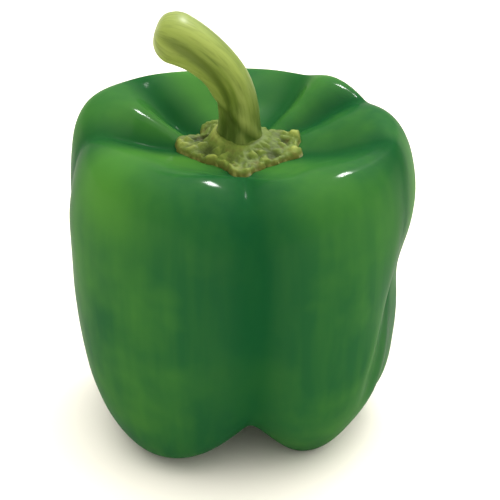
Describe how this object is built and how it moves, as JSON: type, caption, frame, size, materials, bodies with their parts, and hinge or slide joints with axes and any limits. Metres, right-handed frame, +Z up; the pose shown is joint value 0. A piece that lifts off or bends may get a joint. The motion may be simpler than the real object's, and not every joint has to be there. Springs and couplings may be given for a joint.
{
  "type": "bell pepper",
  "caption": "Whole green bell pepper: blocky lobed fruit that stands on its lobe feet, with a rough calyx in the hollow crown and a thick ribbed stem bent to one side.",
  "frame": {"origin": "on the floor, under the middle of the whole pepper's bounding box", "axes": "+Z up, from the feet of the lobes to the stem; -X is the side that the stem leans to; -Y is the side of the two big lobes and the groove between them"},
  "size_m": [0.0902, 0.0834, 0.1172],
  "materials": {
    "skin": "smooth waxy pepper skin, deep green, glossy, with lighter green shoulders",
    "calyx_flesh": "rough, lumpy, matt yellow-green calyx tissue",
    "stem_flesh": "fibrous, ribbed, half-matt light green stem"
  },
  "bodies": {
    "root": {"fruit": "skin", "calyx": "calyx_flesh", "stem": "stem_flesh"}
  },
  "joints": []
}
